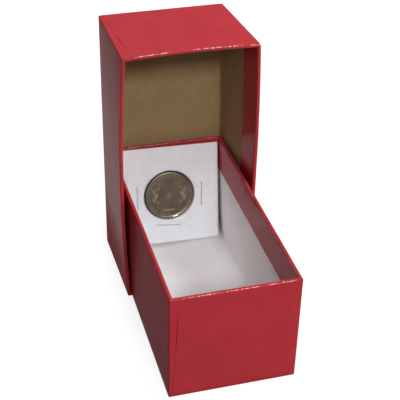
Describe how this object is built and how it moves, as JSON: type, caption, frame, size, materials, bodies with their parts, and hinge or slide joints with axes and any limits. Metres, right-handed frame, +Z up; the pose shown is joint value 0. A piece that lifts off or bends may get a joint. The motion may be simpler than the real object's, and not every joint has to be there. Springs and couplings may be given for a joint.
{
  "type": "coin storage box",
  "caption": "Open two-piece paper-wrapped board box for square coin holders: the lid stands on end behind the tray, and a stapled card with a coin leans in the tray.",
  "frame": {"origin": "on the table, under the middle of the whole open box", "axes": "+X to the right across the box, +Y to the back from the tray to the lid, +Z up"},
  "size_m": [0.0606, 0.1226, 0.1245],
  "materials": {
    "red_paper": "glossy coated red paper",
    "chipboard": "bare brown chipboard",
    "white_paper": "matt white paper",
    "gummed_paper": "brown gummed paper",
    "white_card": "smooth white card",
    "clear_film": "clear polyester film",
    "staple_steel": "plated steel wire",
    "coin_metal": "toned cupronickel"
  },
  "bodies": {
    "tray": {"tray_board": "chipboard", "tray_wrap": "red_paper", "tray_lining": "white_paper", "tray_stay_front_left": "gummed_paper", "tray_stay_front_right": "gummed_paper", "tray_stay_rear_left": "gummed_paper", "tray_stay_rear_right": "gummed_paper"},
    "lid": {"lid_board": "chipboard", "lid_wrap": "red_paper", "lid_stay_lower_left": "gummed_paper", "lid_stay_lower_right": "gummed_paper", "lid_stay_upper_left": "gummed_paper", "lid_stay_upper_right": "gummed_paper"},
    "holder": {"holder_card": "white_card", "holder_film": "clear_film", "coin": "coin_metal", "staple_left": "staple_steel", "staple_right": "staple_steel", "staple_bottom": "staple_steel"}
  },
  "joints": [
    {"name": "lid_draw_off", "type": "slide", "parent": "tray", "child": "lid", "axis": [0, 1, 0], "range_m": [0, 0.075]},
    {"name": "holder_lift_out", "type": "slide", "parent": "tray", "child": "holder", "axis": [0, -0.0239, 0.9997], "range_m": [0, 0.058]}
  ]
}
